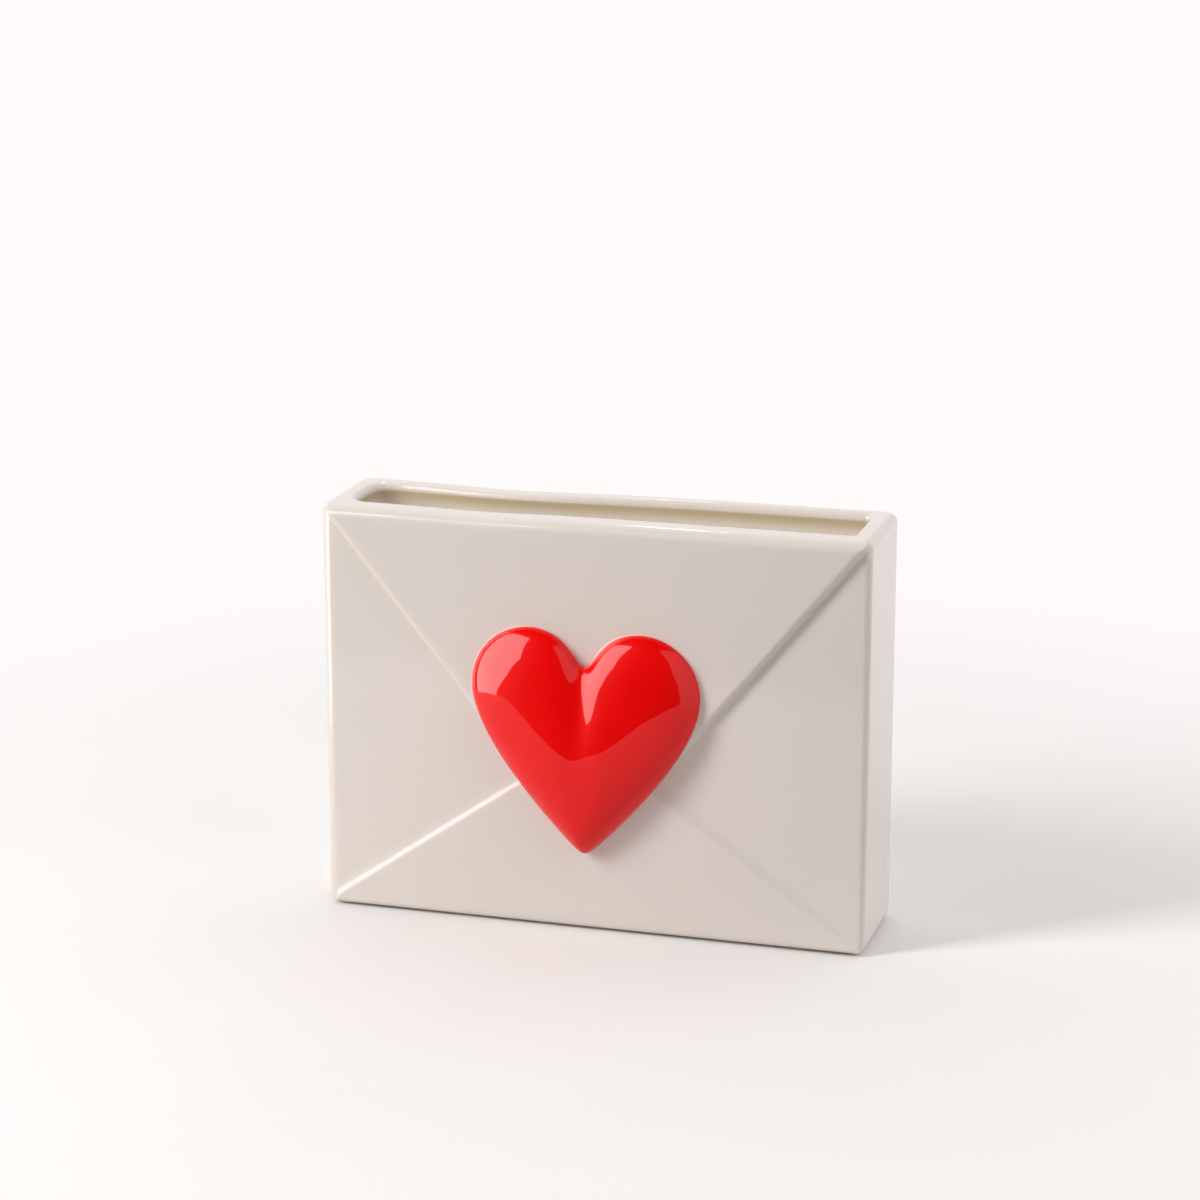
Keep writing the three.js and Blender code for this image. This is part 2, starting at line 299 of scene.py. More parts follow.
def outer_ring(front_inset, other_inset, front_height, other_height):
    box = (-HALF_WIDTH + other_inset, HALF_WIDTH - other_inset, front_inset, DEPTH - other_inset)
    rear_right, rear_left = REAR_RIGHT_CORNER - other_inset, REAR_LEFT_CORNER - other_inset
    radii = (FRONT_RIGHT_CORNER, rear_right, rear_left, FRONT_LEFT_CORNER)
    return shell_ring(box, radii, front_height, other_height, SAG_DEPTH)


def inner_ring(inset, height):
    inside = HALF_WIDTH - SIDE_WALL - inset
    box = (-inside, inside, FRONT_WALL + inset, DEPTH - REAR_WALL - inset)
    left_radii = (INNER_REAR_LEFT_CORNER, INNER_FRONT_LEFT_CORNER)
    radii = (INNER_RIGHT_CORNER, INNER_RIGHT_CORNER, *left_radii)
    return shell_ring(box, radii, height, height, SAG_DEPTH + SAG_THICKENING)


def roll_rings(roll, height_of, lap):
    """Outer rings over a rolled edge, from the wall to the end face."""
    rings = []
    start = math.acos(1 - roll.proud / roll.depth)
    for share in np.arange(ROLL_STEPS + 1) / ROLL_STEPS:
        front = start + (math.pi / 2 - start) * share
        front_inset = roll.depth * (1 - math.cos(front)) - roll.proud
        other = math.pi / 2 * share
        front_drop = roll.drop * (1 - math.sin(front)) + lap
        other_inset = roll.plain * (1 - math.cos(other))
        other_drop = roll.plain * (1 - math.sin(other))
        rings.append(outer_ring(front_inset, other_inset, height_of(front_drop), height_of(other_drop)))
    return rings


def outer_rings():
    """The outside, from the foot's rolled edge up the wall and over the rim's."""
    rings = roll_rings(FOLD_ROLL, lambda drop: drop, UNDERLAP)[::-1]
    top_of_foot, foot_of_rim = FOLD_ROLL.plain, HEIGHT - FLAP_ROLL.plain
    for share in np.arange(1, WALL_STEPS) / WALL_STEPS:
        height = top_of_foot + (foot_of_rim - top_of_foot) * share
        rings.append(outer_ring(0, 0, height, height))
    return rings + roll_rings(FLAP_ROLL, lambda drop: HEIGHT - drop, UNDERLAP)


def inner_rings():
    """The inside, from the lip down the wall, closest together at its top, and round to the floor."""
    rings = []
    lip_foot, fillet_top = HEIGHT - INNER_ROLL, FLOOR_THICKNESS + FLOOR_FILLET
    for turn in np.linspace(0, math.pi / 2, ROLL_STEPS + 1):
        inset = -INNER_ROLL * (1 - math.sin(turn))
        rings.append(inner_ring(inset, HEIGHT - INNER_ROLL * (1 - math.cos(turn))))
    for share in np.arange(1, INNER_STEPS) / INNER_STEPS:
        rings.append(inner_ring(0, lip_foot - (lip_foot - fillet_top) * share**2))
    for turn in np.linspace(0, math.pi / 2, ROLL_STEPS + 1):
        inset = FLOOR_FILLET * (1 - math.cos(turn))
        rings.append(inner_ring(inset, fillet_top - FLOOR_FILLET * math.sin(turn)))
    return rings


def build_shell(glaze):
    """The hollow shell, one skin from the underside over the rim to the floor inside."""
    outside = outer_rings()
    points = np.array(outside + inner_rings())
    rows, columns = points.shape[:2]
    faces = [list(face) for face in grid_faces(rows, columns, closed=True)]
    faces.append(list(range(columns))[::-1])
    faces.append(list(range((rows - 1) * columns, rows * columns)))
    shell = make_piece("shell_skin", points.reshape(-1, 3), faces, [glaze], "vase_body")
    z = points[:, :, 2]
    depth_inside = np.where(np.arange(rows)[:, None] >= len(outside), HEIGHT - z, 0)
    paint(shell, "inside", smooth_share(depth_inside, LINING_START, LINING_STOP))
    paint(shell, "deep", smooth_share(depth_inside, LINING_STOP, LINING_PALE))
    paint_by_height(shell, z)
    return shell


# Slabs on the front

def flap_foot(x):
    slope = (FLAP_REACH - FLAP_CORNER_DROP) / HALF_WIDTH
    return HEIGHT - FLAP_REACH + slope * np.hypot(x - FLAP_ASIDE, SLAB_TIP_ROUND)


def fold_foot(x):
    slope = (FOLD_RISE - FOLD_CORNER_RISE) / HALF_WIDTH
    return FOLD_RISE - slope * np.hypot(x, SLAB_TIP_ROUND)


def soft_step(share):
    """Rises slowly from the panel, is steepest at a share of its width and rounds off above."""
    rising = share**2 / FOLD_STEEPEST_SHARE
    rounding = 1 - (1 - share) ** 2 / (1 - FOLD_STEEPEST_SHARE)
    return np.where(share < FOLD_STEEPEST_SHARE, rising, rounding)


FLAP = SimpleNamespace(
    name="flap_skin",
    node="top_flap",
    up=1,
    height=FLAP_HEIGHT,
    foot=flap_foot,
    slant=math.hypot(1, (FLAP_REACH - FLAP_CORNER_DROP) / HALF_WIDTH),
    roll=FLAP_ROLL,
    level_at=lambda share: np.sin(np.pi / 2 * share),
    inset_at=lambda share: FLAP_BEVEL * (1 - np.cos(np.pi / 2 * share)),
    end_edge=lambda x, drop: HEIGHT + rim_dip(x) - drop,
    fillet=CREASE_FILLET,
)
FOLD = SimpleNamespace(
    name="fold_skin",
    node="bottom_fold",
    up=-1,
    height=FOLD_HEIGHT - FOLD_SOFTENING,
    foot=fold_foot,
    slant=math.hypot(1, (FOLD_RISE - FOLD_CORNER_RISE) / HALF_WIDTH),
    roll=FOLD_ROLL,
    level_at=soft_step,
    inset_at=lambda share: FOLD_STEP * share,
    end_edge=lambda x, drop: drop,
    fillet=0,
)


def front_base(along):
    """Point and outward direction of the front wall at a distance along it, corners included."""
    corner = np.where(along < 0, FRONT_LEFT_CORNER, FRONT_RIGHT_CORNER)
    flat = HALF_WIDTH - corner
    turn = np.clip(np.abs(along) - flat, 0, None) / corner
    side = np.sign(along)
    x = side * (np.minimum(np.abs(along), flat) + corner * np.sin(turn))
    y = corner * (1 - np.cos(turn))
    return x, y, side * np.sin(turn), -np.cos(turn)


def slab_stations():
    """Distances along the front wall, close together at both ends, and how far each is past its end."""
    share = np.sin(np.linspace(0, math.pi / 2, SLAB_END_STATIONS))
    span = SLAB_END_BEFORE + SLAB_END_AFTER
    left = HALF_WIDTH - FRONT_LEFT_CORNER - SLAB_END_BEFORE
    right = HALF_WIDTH - FRONT_RIGHT_CORNER - SLAB_END_BEFORE
    middle = np.linspace(-left, right, SLAB_STATIONS)[1:-1]
    along = np.concatenate([-(left + span * share)[::-1], middle, right + span * share])
    past = np.concatenate([share[::-1], np.zeros(len(middle)), share])
    return along, past


def slab_shape(slab):
    """What all the rows of one slab's sheet share."""
    along, past = slab_stations()
    base_x, base_y, out_x, out_y = front_base(along)
    foot = slab.foot(along)

    def edge_reach(level):
        end = slab.end_edge(base_x, roll_drop(slab.roll, level, out_y**2))
        return slab.up * (end - foot)

    top = slab.height * np.sqrt(1 - past**2) + SLAB_LEAST_HEIGHT
    shares = np.linspace(0, 1, SHARE_STEPS)[:, None]
    room = edge_reach(top * slab.level_at(shares)) - slab.inset_at(shares) * slab.slant
    last_share = np.where(room > 0, shares, 0).max(0)
    return SimpleNamespace(
        base_x=base_x,
        base_y=base_y,
        out_x=out_x,
        out_y=out_y,
        foot=foot,
        top=top,
        last_share=last_share,
        peak=top * slab.level_at(last_share),
        edge_reach=edge_reach,
    )


def slab_edge_rows(slab, shape):
    """Levels and reaches from just under the panel up the slanted edge."""
    rows = [(-SLAB_SINK, -(slab.fillet + SLAB_LAP) * slab.slant)]
    first_step, first_share = 0, 0
    if slab.fillet:
        for turn in np.linspace(0, math.pi / 2, FILLET_STEPS + 1):
            level = np.minimum(slab.fillet * (1 - math.cos(turn)), shape.peak)
            rows.append((level, slab.fillet * (math.sin(turn) - 1) * slab.slant))
        start_share = math.asin(slab.fillet / slab.height) / (math.pi / 2)
        first_step, first_share = 1, np.minimum(start_share, shape.last_share)
    for step in range(first_step, EDGE_STEPS + 1):
        share = first_share + (shape.last_share - first_share) * (step / EDGE_STEPS)
        rows.append((shape.top * slab.level_at(share), slab.inset_at(share) * slab.slant))
    return rows


def slab_face_rows(slab, shape):
    """Levels and reaches over the flat face."""
    start, stop = slab.inset_at(shape.last_share) * slab.slant, shape.edge_reach(shape.peak)
    shares = [step / FACE_STEPS for step in range(1, FACE_STEPS)]
    return [(shape.peak, start + (stop - start) * share) for share in shares]


def slab_roll_rows(slab, shape):
    """Levels and reaches round the rolled edge, with a last row that dips behind its end."""
    roll, rows = slab.roll, []
    turn_start = np.arccos(np.clip(1 - (roll.proud - shape.peak) / roll.depth, -1, 1))
    for step in range(ROLL_STEPS + 1):
        turn = turn_start + (math.pi / 2 - turn_start) * (step / ROLL_STEPS)
        level = roll.proud - roll.depth * (1 - np.cos(turn))
        rows.append((level, shape.edge_reach(level)))
    land = roll.proud - roll.depth
    end = shape.edge_reach(np.full_like(shape.foot, land)) - ROLL_LAP
    rows.append((land - ROLL_SINK, end))
    return rows


def build_slab(slab, glaze):
    """A sheet over one slab: from the panel up its slanted edge, over its face and round its roll."""
    shape = slab_shape(slab)
    rows = slab_edge_rows(slab, shape) + slab_face_rows(slab, shape) + slab_roll_rows(slab, shape)
    level = np.array([np.broadcast_to(row[0], shape.foot.shape) for row in rows])
    reach = np.array([np.broadcast_to(row[1], shape.foot.shape) for row in rows])
    x, y = shape.base_x + shape.out_x * level, shape.base_y + shape.out_y * level
    z = shape.foot + slab.up * reach
    faces = grid_faces(*z.shape)
    if slab.up < 0:
        faces = faces[:, ::-1]
    points = np.stack([x, y, z], -1).reshape(-1, 3)
    skin = make_piece(slab.name, points, faces, [glaze], slab.node)
    for name in ("inside", "deep"):
        paint(skin, name, np.zeros(z.shape))
    paint_by_height(skin, z)
    return skin


def front_level(x, z):
    """How far the slabs stand before the front wall at a place."""
    flap_in = np.clip((z - flap_foot(x)) / FLAP.slant / FLAP_BEVEL, 0, 1)
    fold_in = np.clip((fold_foot(x) - z) / FOLD.slant / FOLD_STEP, 0, 1)
    flap_level = FLAP_HEIGHT * np.sqrt(1 - (1 - flap_in) ** 2)
    return np.maximum(flap_level, FOLD.height * FOLD.level_at(fold_in))


# Heart

def heart_lower_edge(x):
    t = np.linspace(0, 1, HEART_EDGE_STEPS)
    wide, side = HEART_HALF_WIDTH, HEART_WIDEST_RISE - HEART_SIDE_DROP
    edge_x = 3 * (1 - t) ** 2 * t * HEART_TIP_SLANT + 3 * (1 - t) * t**2 * wide + t**3 * wide
    edge_z = 3 * (1 - t) ** 2 * t * HEART_TIP_SLANT + 3 * (1 - t) * t**2 * side + t**3 * HEART_WIDEST_RISE
    return np.hypot(np.interp(np.abs(x), edge_x, edge_z), HEART_TIP_ROUND)


def heart_upper_edge(x):
    centre = HEART_HALF_WIDTH - HEART_LOBE_RADIUS
    across = np.clip((np.abs(x) - centre) / HEART_LOBE_RADIUS, -1, 1)
    lobe = HEART_WIDEST_RISE + HEART_LOBE_RADIUS * np.sqrt(1 - across**2)
    return lobe - HEART_NOTCH_DROP * np.exp(-np.abs(x) / HEART_NOTCH_WIDTH)


def heart_dome():
    """Rows of points over the heart, each row one share of the way up every slice."""
    x = HEART_HALF_WIDTH * np.sin(np.linspace(-math.pi / 2, math.pi / 2, HEART_STATIONS + 1))
    low, high = heart_lower_edge(x), heart_upper_edge(x)
    low[[0, -1]] = high[[0, -1]] = HEART_WIDEST_RISE
    chord = high - low
    turns = np.linspace(0, math.pi, HEART_ARC_STEPS + 1)[:, None]
    z = low + chord * (1 - np.cos(turns)) / 2
    valley = np.exp(-((x / HEART_VALLEY_WIDTH) ** 2))
    valley = valley * smooth_share(z, HEART_VALLEY_FOOT, HEART_VALLEY_HEAD)
    beside_notch = np.where(turns > math.pi / 2, np.exp(-((x / HEART_PLUMP_WIDTH) ** 2)), 0)
    rise = np.clip(np.sin(turns), 0, 1) ** (1 - HEART_PLUMP_SHARE * beside_notch)
    level = HEART_FULLNESS / chord.max() * chord * rise * (1 - HEART_VALLEY_SHARE * valley)
    soft = np.exp(-((x[1:-1] / HEART_SOFT_WIDTH) ** 2))
    soft = soft * smooth_share(z[1:-1, 1:-1], HEART_SOFT_FOOT, HEART_SOFT_HEAD)
    for _ in range(SOFT_PASSES):
        for values in (level, z):
            inner = values[1:-1]
            mean = (inner[:, :-2] + 2 * inner[:, 1:-1] + inner[:, 2:]) / 4
            inner[:, 1:-1] += (mean - inner[:, 1:-1]) * soft
    foot = HEART_FOOT - HEART_TIP_ROUND
    return np.stack([np.broadcast_to(x + HEART_ASIDE, z.shape), -FLAP_HEIGHT - level, z + foot], -1)


def heart_edge(points):
    """The outline's places, x and z, and their outward directions, from points in order round it."""
    edge = points[:, [0, 2]]
    tangent = np.roll(edge, -1, 0) - np.roll(edge, 1, 0)
    outward = np.stack([tangent[:, 1], -tangent[:, 0]], 1)
    return edge, outward / np.linalg.norm(outward, axis=1)[:, None]


def ring_faces(first, second):
    """Faces between two closed rows of point numbers."""
    beside = np.roll(np.arange(len(first)), -1)
    return np.stack([second, second[beside], first[beside], first], 1).tolist()


def build_heart(red, pale):
    """The dome with a short red skirt down to the front, and a pale bead of glaze round it."""
    dome = heart_dome()
    rows, columns = dome.shape[:2]
    points = dome.reshape(-1, 3)
    faces = [list(face) for face in grid_faces(rows, columns)]
    rim = np.concatenate([np.arange(columns), (rows - 1) * columns + np.arange(columns - 2, 0, -1)])
    edge, outward = heart_edge(points[rim])
    skirt = [(0, BEAD_HEIGHT, FLAP_HEIGHT), (0, 0, FLAP_HEIGHT)]
    bead = [(-BEAD_LAP, BEAD_HEIGHT * 2, HEIGHT)]
    for turn in np.linspace(0, math.pi / 2, BEAD_STEPS + 1):
        offset = BEAD_WIDTH * (1 - math.cos(turn)) + BEAD_GAP
        bead.append((offset, BEAD_HEIGHT * (1 - math.sin(turn)), HEIGHT))
    bead.append((BEAD_WIDTH + BEAD_SINK, -BEAD_SINK, HEIGHT))
    stacks, previous, red_faces = [points], rim, 0
    for number, (offset, rise, ceiling) in enumerate(skirt + bead):
        x, z = (edge + outward * offset).T
        y = -np.minimum(front_level(x, z) + rise, ceiling)
        stacks.append(np.stack([x, y, z], 1))
        current = len(points) + number * len(rim) + np.arange(len(rim))
        if number == len(skirt):
            red_faces = len(faces)
        else:
            faces += ring_faces(previous, current)
        previous = current
    heart = make_piece("heart_skin", np.concatenate(stacks), faces, [red, pale], "heart_seal")
    slots = (np.arange(len(faces)) >= red_faces).astype(np.int32)
    heart.data.polygons.foreach_set("material_index", slots)
    return heart


# Pads

def build_pad(node, felt):
    """A thin round pad with eased edges."""
    low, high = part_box(node)
    centre = (low + high) / 2
    radius, thickness = (high.x - low.x) / 2 / MM, (high.z - low.z) / MM
    profile = [
        (radius - PAD_EDGE, 0),
        (radius - PAD_EDGE * PAD_EDGE_SHARE, PAD_EDGE * PAD_EDGE_SHARE),
        (radius, PAD_EDGE),
        (radius, thickness - PAD_EDGE),
        (radius - PAD_EDGE * PAD_EDGE_SHARE, thickness - PAD_EDGE * PAD_EDGE_SHARE),
        (radius - PAD_EDGE, thickness),
    ]
    turns = np.linspace(0, 2 * math.pi, PAD_SIDES, endpoint=False)
    offset = np.array([centre.x, centre.y - shell_low.y, low.z - shell_low.z]) / MM
    rows = [np.stack([r * np.cos(turns), r * np.sin(turns), np.full(PAD_SIDES, z)], 1) for r, z in profile]
    points = np.concatenate(rows) + offset
    faces = [list(face) for face in grid_faces(len(profile), PAD_SIDES, closed=True)]
    faces.append(list(range(PAD_SIDES))[::-1])
    faces.append(list(range((len(profile) - 1) * PAD_SIDES, len(profile) * PAD_SIDES)))
    return make_piece("felt_" + node, points, faces, [felt], node)


# Tones, each as the two ends of its clouds unless it is plain

IVORY = ((0.780, 0.718, 0.668), (0.800, 0.740, 0.692))
# Painted shade for the brightly lit top of the rim.
RIM_SHADE_TONE = (0.770, 0.722, 0.675)
LINING_TONE = (0.55, 0.455, 0.28)
DEEP_LINING_TONE = (0.86, 0.79, 0.71)
BARE_CLAY = ((0.60, 0.51, 0.42), (0.70, 0.62, 0.53))
RED = ((0.89, 0.0006, 0.0008), (0.92, 0.0010, 0.0010))
PALE_RED = ((0.78, 0.42, 0.38), (0.78, 0.56, 0.51))
FELT = ((0.36, 0.33, 0.28), (0.52, 0.48, 0.42))
PAPER = ((0.90, 0.90, 0.90), (0.92, 0.92, 0.92))
DARK_ROOM = (0.015, 0.015, 0.015, 1)
SHADE_FILL = (1, 0.92, 0.85, 1)
STUDIO_WHITE = (1, 0.97, 0.965, 1)
WARM = (1, 0.985, 0.97)
COOL = (1, 0.96, 0.96)
PLAIN = (1, 1, 1)


# Materials

def new_material(name):
    material = bpy.data.materials.new(name)
    material.use_nodes = True
    nodes, links = material.node_tree.nodes, material.node_tree.links
    shader = nodes["Principled BSDF"]
    return material, nodes, links, shader


def object_place(nodes):
    return nodes.new("ShaderNodeTexCoord").outputs["Object"]


def noise(nodes, links, place, scale, detail=3, roughness=0.5):
    node = nodes.new("ShaderNodeTexNoise")
    node.inputs["Scale"].default_value = scale
    node.inputs["Detail"].default_value = detail
    node.inputs["Roughness"].default_value = roughness
    links.new(place, node.inputs["Vector"])
    return node.outputs["Fac"]


def ramp(nodes, links, factor, start, stop, colours):
    """Runs from one colour to another while the factor goes from start to stop."""
    node = nodes.new("ShaderNodeValToRGB")
    for element, position, colour in zip(node.color_ramp.elements, (start, stop), colours):
        element.position = position
        element.color = (*colour, 1)
    links.new(factor, node.inputs["Fac"])
    return node.outputs["Color"]


def grey(value):
    return (value, value, value)


def blend(nodes, links, factor, first, second):
    node = nodes.new("ShaderNodeMix")
    node.data_type = "RGBA"
    links.new(factor, node.inputs["Factor"])
    for value, socket in ((first, node.inputs["A"]), (second, node.inputs["B"])):
        if isinstance(value, tuple):
            socket.default_value = (*value, 1)
        else:
            links.new(value, socket)
    return node.outputs["Result"]


def painted(nodes, name):
    node = nodes.new("ShaderNodeAttribute")
    node.attribute_name = name
    return node.outputs["Fac"]


def bump(nodes, links, height, distance, strength, normal=None):
    node = nodes.new("ShaderNodeBump")
    node.inputs["Distance"].default_value = distance
    node.inputs["Strength"].default_value = strength
    links.new(height, node.inputs["Height"])
    if normal is not None:
        links.new(normal, node.inputs["Normal"])
    return node.outputs["Normal"]


def ivory_glaze():
    """Clear gloss over cloudy ivory, a little darker on top of the rim as painted shade, tan just inside
    the rim, with bare clay at the foot.
    """
    material, nodes, links, shader = new_material("ivory_glaze")
    place = object_place(nodes)
    bare = painted(nodes, "bare")
    clouds = noise(nodes, links, place, scale=14, detail=2)
    tone = ramp(nodes, links, clouds, start=0.2, stop=0.8, colours=IVORY)
    # The rim's top takes a slightly darker, plain tone: painted shade over its bright lighting.
    rim = blend(nodes, links, painted(nodes, "edge"), tone, RIM_SHADE_TONE)
    lining = blend(nodes, links, painted(nodes, "deep"), LINING_TONE, DEEP_LINING_TONE)
    lined = blend(nodes, links, painted(nodes, "inside"), rim, lining)
    grit = noise(nodes, links, place, scale=1500, detail=4)
    grain = ramp(nodes, links, grit, start=0.35, stop=0.7, colours=BARE_CLAY)
    links.new(blend(nodes, links, bare, lined, grain), shader.inputs["Base Color"])
    mottle = noise(nodes, links, place, scale=90, detail=3)
    satin = ramp(nodes, links, mottle, start=0.3, stop=0.7, colours=(grey(0.32), grey(0.42)))
    links.new(blend(nodes, links, bare, satin, grey(0.9)), shader.inputs["Roughness"])
    links.new(blend(nodes, links, bare, grey(0.9), grey(0)), shader.inputs["Coat Weight"])
    shader.inputs["Coat Roughness"].default_value = 0.06
    shader.inputs["Coat IOR"].default_value = 1.4
    shader.inputs["Specular IOR Level"].default_value = 0.1
    swell = noise(nodes, links, place, scale=45, detail=2)
    wave = bump(nodes, links, swell, distance=0.0006, strength=0.35)
    pores = noise(nodes, links, place, scale=420, detail=2)
    peel = bump(nodes, links, pores, distance=0.00005, strength=0.25, normal=wave)
    links.new(peel, shader.inputs["Normal"])
    links.new(peel, shader.inputs["Coat Normal"])
    return material


def red_glaze():
    """Deep red under a clear gloss glaze."""
    material, nodes, links, shader = new_material("red_glaze")
    place = object_place(nodes)
    clouds = noise(nodes, links, place, scale=30, detail=2)
    tone = ramp(nodes, links, clouds, start=0.3, stop=0.7, colours=RED)
    links.new(tone, shader.inputs["Base Color"])
    mottle = noise(nodes, links, place, scale=120, detail=2)
    rough = ramp(nodes, links, mottle, start=0.3, stop=0.7, colours=(grey(0.32), grey(0.38)))
    links.new(rough, shader.inputs["Roughness"])
    shader.inputs["Specular IOR Level"].default_value = 0.05
    shader.inputs["Coat Weight"].default_value = 1
    shader.inputs["Coat Roughness"].default_value = 0.02
    shader.inputs["Coat IOR"].default_value = 1.34
    swell = noise(nodes, links, place, scale=70, detail=2)
    wave = bump(nodes, links, swell, distance=0.0003, strength=0.3)
    links.new(wave, shader.inputs["Normal"])
    links.new(wave, shader.inputs["Coat Normal"])
    return material


def pale_line():
    """The clear glaze that gathers, faintly tinted, where the red stops."""
    material, nodes, links, shader = new_material("pale_glaze_line")
    place = object_place(nodes)
    streaks = noise(nodes, links, place, scale=160, detail=3)
    tone = ramp(nodes, links, streaks, start=0.3, stop=0.7, colours=PALE_RED)
    links.new(tone, shader.inputs["Base Color"])
    mottle = noise(nodes, links, place, scale=300, detail=2)
    rough = ramp(nodes, links, mottle, start=0.3, stop=0.7, colours=(grey(0.35), grey(0.45)))
    links.new(rough, shader.inputs["Roughness"])
    shader.inputs["Coat Weight"].default_value = 0.25
    shader.inputs["Coat Roughness"].default_value = 0.15
    return material


def pad_felt():
    """Short grey beige felt."""
    material, nodes, links, shader = new_material("pad_felt")
    fibres = noise(nodes, links, object_place(nodes), scale=1800, detail=5, roughness=0.7)
    tone = ramp(nodes, links, fibres, start=0.3, stop=0.7, colours=FELT)
    links.new(tone, shader.inputs["Base Color"])
    shader.inputs["Roughness"].default_value = 0.95
    shader.inputs["Sheen Weight"].default_value = 0.5
    links.new(bump(nodes, links, fibres, distance=0.0003, strength=0.8), shader.inputs["Normal"])
    return material


# Stage, metres

TABLE_FRONT = -0.33
TABLE_LEFT = -0.31
TABLE_RIGHT = 0.25
TABLE_BACK_START = 0.06
TABLE_BACK_WIDTH = 3.0
TABLE_BACK_STOP = 5.0
# Where the painted shade in the paper's bounce runs from light on the left to dark on the right.
BOUNCE_LEFT = -0.25
BOUNCE_RIGHT = 0.15
BOUNCE_TURN_START = -0.08
BOUNCE_TURN_STOP = 0
WHITE_START = 0.16
WHITE_STOP = 0.55
HOOD_RADIUS = 2.4
HOOD_LOW = -1.6
HOOD_HIGH = 3.2
PANEL_EYE = 0.08

# Stage, shares of white and the hood's reach to each side

# Shares of white the paper throws back: painted shade, brightest on the left, darkest on the right.
BOUNCE_MOST = 0.86
BOUNCE_LEAST = 0.44
BOUNCE_BEHIND = 0.78
WHITE_MOST = 0.95
HOOD_GLOW = 0.27
HOOD_SPAN = math.radians(100)
HOOD_STEPS = 40


def stage_mesh(name, points, faces, material):
    mesh = bpy.data.meshes.new(name)
    mesh.from_pydata(points, [], faces)
    mesh.materials.append(material)
    piece = bpy.data.objects.new(name, mesh)
    bpy.context.collection.objects.link(piece)
    return piece


def arithmetic(nodes, links, operation, first, second):
    node = nodes.new("ShaderNodeMath")
    node.operation = operation
    for value, socket in ((first, node.inputs[0]), (second, node.inputs[1])):
        if isinstance(value, (int, float)):
            socket.default_value = value
        else:
            links.new(value, socket)
    return node.outputs["Value"]


def soft_range(nodes, links, value, start, stop, low, high):
    node = nodes.new("ShaderNodeMapRange")
    node.interpolation_type = "SMOOTHSTEP"
    limits = {"From Min": start, "From Max": stop, "To Min": low, "To Max": high}
    for name, limit in limits.items():
        node.inputs[name].default_value = limit
    links.new(value, node.inputs["Value"])
    return node.outputs["Result"]


def white_sheet():
    """White paper that throws back less light than it shows, less still to the right as painted shade of
    the key light falling off, and fades into plain white far off.
    """
    material, nodes, links, shader = new_material("table_white")
    place = object_place(nodes)
    ray = nodes.new("ShaderNodeLightPath")
    clouds = noise(nodes, links, place, scale=6, detail=2)
    seen = ramp(nodes, links, clouds, start=0.3, stop=0.7, colours=PAPER)
    parts = nodes.new("ShaderNodeSeparateXYZ")
    links.new(place, parts.inputs["Vector"])
    # The light the paper throws back is painted shade: darkest to the right, where the key light falls off,
    # and even behind the vase.
    sideways = (BOUNCE_LEFT, BOUNCE_RIGHT, BOUNCE_MOST, BOUNCE_LEAST)
    front = soft_range(nodes, links, parts.outputs["X"], *sideways)
    behind = soft_range(nodes, links, parts.outputs["Y"], BOUNCE_TURN_START, BOUNCE_TURN_STOP, 0, 1)
    shaded_bounce = blend(nodes, links, behind, front, grey(BOUNCE_BEHIND))
    links.new(blend(nodes, links, ray.outputs["Is Diffuse Ray"], seen, shaded_bounce), shader.inputs["Base Color"])
    shader.inputs["Roughness"].default_value = 0.9
    shader.inputs["Specular IOR Level"].default_value = 0.1
    length = nodes.new("ShaderNodeVectorMath")
    length.operation = "LENGTH"
    links.new(place, length.inputs[0])
    far = soft_range(nodes, links, length.outputs["Value"], WHITE_START, WHITE_STOP, 0, WHITE_MOST)
    direct = arithmetic(nodes, links, "SUBTRACT", 1, ray.outputs["Is Diffuse Ray"])
    glow = nodes.new("ShaderNodeEmission")
    glow.inputs["Color"].default_value = STUDIO_WHITE
    glow.inputs["Strength"].default_value = 1
    mix = nodes.new("ShaderNodeMixShader")
    links.new(arithmetic(nodes, links, "MULTIPLY", far, direct), mix.inputs["Fac"])
    links.new(shader.outputs["BSDF"], mix.inputs[1])
    links.new(glow.outputs["Emission"], mix.inputs[2])
    links.new(mix.outputs["Shader"], nodes["Material Output"].inputs["Surface"])
    material.cycles.emission_sampling = "NONE"
    return material


def build_table():
    """A small table top in front, widening behind the vase."""
    near = [
        (TABLE_LEFT, TABLE_FRONT, 0),
        (TABLE_RIGHT, TABLE_FRONT, 0),
        (TABLE_RIGHT, TABLE_BACK_START, 0),
        (TABLE_LEFT, TABLE_BACK_START, 0),
    ]
    far = [
        (-TABLE_BACK_WIDTH, TABLE_BACK_START, 0),
        (TABLE_BACK_WIDTH, TABLE_BACK_START, 0),
        (TABLE_BACK_WIDTH, TABLE_BACK_STOP, 0),
        (-TABLE_BACK_WIDTH, TABLE_BACK_STOP, 0),
    ]
    return stage_mesh("table", near + far, [(0, 1, 2, 3), (4, 5, 6, 7)], white_sheet())


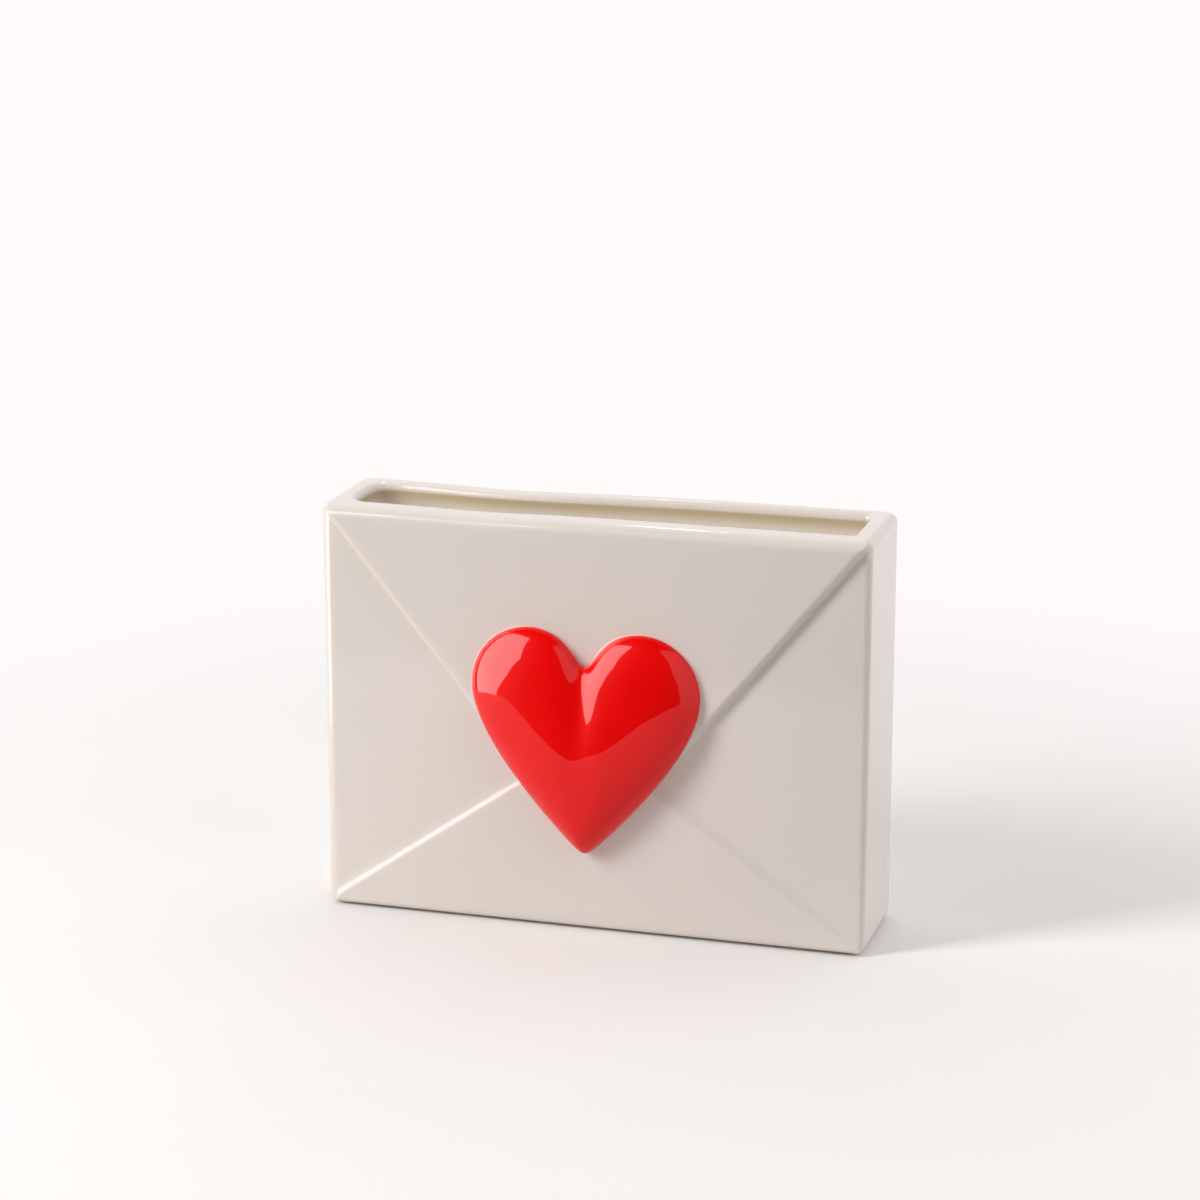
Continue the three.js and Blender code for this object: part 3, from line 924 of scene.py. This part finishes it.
def build_hood():
    """Room in front of the table and over it, dark in reflections, which softly fills the shade."""
    material, nodes, links, shader = new_material("dark_room")
    shader.inputs["Base Color"].default_value = DARK_ROOM
    shader.inputs["Roughness"].default_value = 1
    shader.inputs["Specular IOR Level"].default_value = 0
    shader.inputs["Emission Color"].default_value = SHADE_FILL
    ray = nodes.new("ShaderNodeLightPath")
    fill = arithmetic(nodes, links, "MULTIPLY", ray.outputs["Is Diffuse Ray"], HOOD_GLOW)
    links.new(fill, shader.inputs["Emission Strength"])
    material.cycles.emission_sampling = "NONE"
    turns = np.linspace(-HOOD_SPAN, HOOD_SPAN, HOOD_STEPS + 1)
    ring = [(HOOD_RADIUS * math.sin(a), -HOOD_RADIUS * math.cos(a)) for a in turns]
    count = len(ring)
    points = [(x, y, HOOD_LOW) for x, y in ring] + [(x, y, HOOD_HIGH) for x, y in ring]
    faces = [(i, i + 1, i + 1 + count, i + count) for i in range(count - 1)]
    faces.append(tuple(range(count, 2 * count)))
    hood = stage_mesh("dark_room", points, faces, material)
    hood.visible_camera = False
    return hood


# Light, each panel's corners as azimuth and elevation in degrees, and white as a radiance of 1

KEY_FACING = -60
KEY_DISTANCE = 1.2
KEY_RADIANCE = 13.6
KEY_CORNERS = [(-61, 11), (-43, 11), (-43, 46), (-61, 46)]
WINDOW_RADIANCE = 7.6
WINDOW_CORNERS = [(-57, -22), (-50, -12), (-38, 0), (-27, 15), (-25, 48), (-82, 48), (-82, -22)]
FILL_FACING = 58
FILL_DISTANCE = 1.1
FILL_RADIANCE = 1.38
FILL_CORNERS = [(46, 6), (40, 56), (98, 56), (98, 2)]
RIGHT_FACING = 64
RIGHT_RADIANCE = 1.25
RIGHT_CORNERS = [(38, -18), (28, 10), (22, 50), (105, 50), (105, -18)]
REAR_FACING = -161
REAR_DISTANCE = 1.4
REAR_RADIANCE = 26
REAR_CORNERS = [(-159.8, 42), (-159.8, 47), (-162.2, 47), (-162.2, 42)]


def panel_light(name, facing, distance, corners, radiance, colour, shine):
    """A soft upright panel, seen from the vase between its corners, that lights or shines in it."""
    material = bpy.data.materials.new(name)
    material.use_nodes = True
    nodes, links = material.node_tree.nodes, material.node_tree.links
    nodes.clear()
    glow = nodes.new("ShaderNodeEmission")
    glow.inputs["Color"].default_value = (*colour, 1)
    glow.inputs["Strength"].default_value = radiance
    output = nodes.new("ShaderNodeOutputMaterial")
    links.new(glow.outputs["Emission"], output.inputs["Surface"])
    points = []
    for azimuth, elevation in corners:
        turn = math.radians(azimuth)
        away = distance / math.cos(turn - math.radians(facing))
        height = PANEL_EYE + away * math.tan(math.radians(elevation))
        points.append((away * math.sin(turn), -away * math.cos(turn), height))
    panel = stage_mesh(name, points, [tuple(range(len(points)))], material)
    panel.visible_camera = False
    panel.visible_diffuse = not shine
    panel.visible_glossy = shine
    panel.visible_shadow = False
    return panel


def build_light():
    """White all round, with a key light on the left, a fill on the right and a small light behind."""
    world = bpy.data.worlds.new("white_studio")
    bpy.context.scene.world = world
    world.use_nodes = True
    world.node_tree.nodes["Background"].inputs["Color"].default_value = STUDIO_WHITE
    world.node_tree.nodes["Background"].inputs["Strength"].default_value = 1
    panel_light("key_panel", KEY_FACING, KEY_DISTANCE, KEY_CORNERS, KEY_RADIANCE, WARM, shine=False)
    panel_light("key_shine", KEY_FACING, KEY_DISTANCE, WINDOW_CORNERS, WINDOW_RADIANCE, WARM, shine=True)
    panel_light("right_panel", FILL_FACING, FILL_DISTANCE, FILL_CORNERS, FILL_RADIANCE, COOL, shine=False)
    panel_light("right_shine", RIGHT_FACING, FILL_DISTANCE, RIGHT_CORNERS, RIGHT_RADIANCE, COOL, shine=True)
    panel_light("rear_shine", REAR_FACING, REAR_DISTANCE, REAR_CORNERS, REAR_RADIANCE, PLAIN, shine=True)


# Camera, its view worked out from the box corners in the photograph

CAMERA_AZIMUTH = 16.36
CAMERA_ELEVATION = 15.18
CAMERA_DISTANCE = 1.278
CAMERA_RIGHT = 0.0037
CAMERA_UP = 0.1198
FOCAL_PIXELS = 3517
PHOTO_PIXELS = 1200
SENSOR = 36


def build_camera():
    """Looks from the photograph's side, a little from the right and from above."""
    azimuth, elevation = math.radians(CAMERA_AZIMUTH), math.radians(CAMERA_ELEVATION)
    back = Vector((
        math.sin(azimuth) * math.cos(elevation),
        -math.cos(azimuth) * math.cos(elevation),
        math.sin(elevation),
    ))
    right = Vector((math.cos(azimuth), math.sin(azimuth), 0))
    up = back.cross(right)
    data = bpy.data.cameras.new("camera")
    data.sensor_width = SENSOR
    data.lens = FOCAL_PIXELS / PHOTO_PIXELS * SENSOR
    camera = bpy.data.objects.new("camera", data)
    bpy.context.collection.objects.link(camera)
    place = back * CAMERA_DISTANCE + right * CAMERA_RIGHT + up * CAMERA_UP
    turn = Matrix((right, up, back)).transposed().to_4x4()
    camera.matrix_world = Matrix.Translation(place + Vector((0, shell_low.y, 0))) @ turn
    bpy.context.scene.camera = camera


# Everything together

glaze = ivory_glaze()
build_shell(glaze)
build_slab(FLAP, glaze)
build_slab(FOLD, glaze)
build_heart(red_glaze(), pale_line())
felt = pad_felt()
for node in sorted(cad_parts):
    if node.startswith("foot_pad"):
        build_pad(node, felt)
build_table()
build_hood()
build_light()
build_camera()
bpy.context.scene.view_settings.view_transform = "Standard"
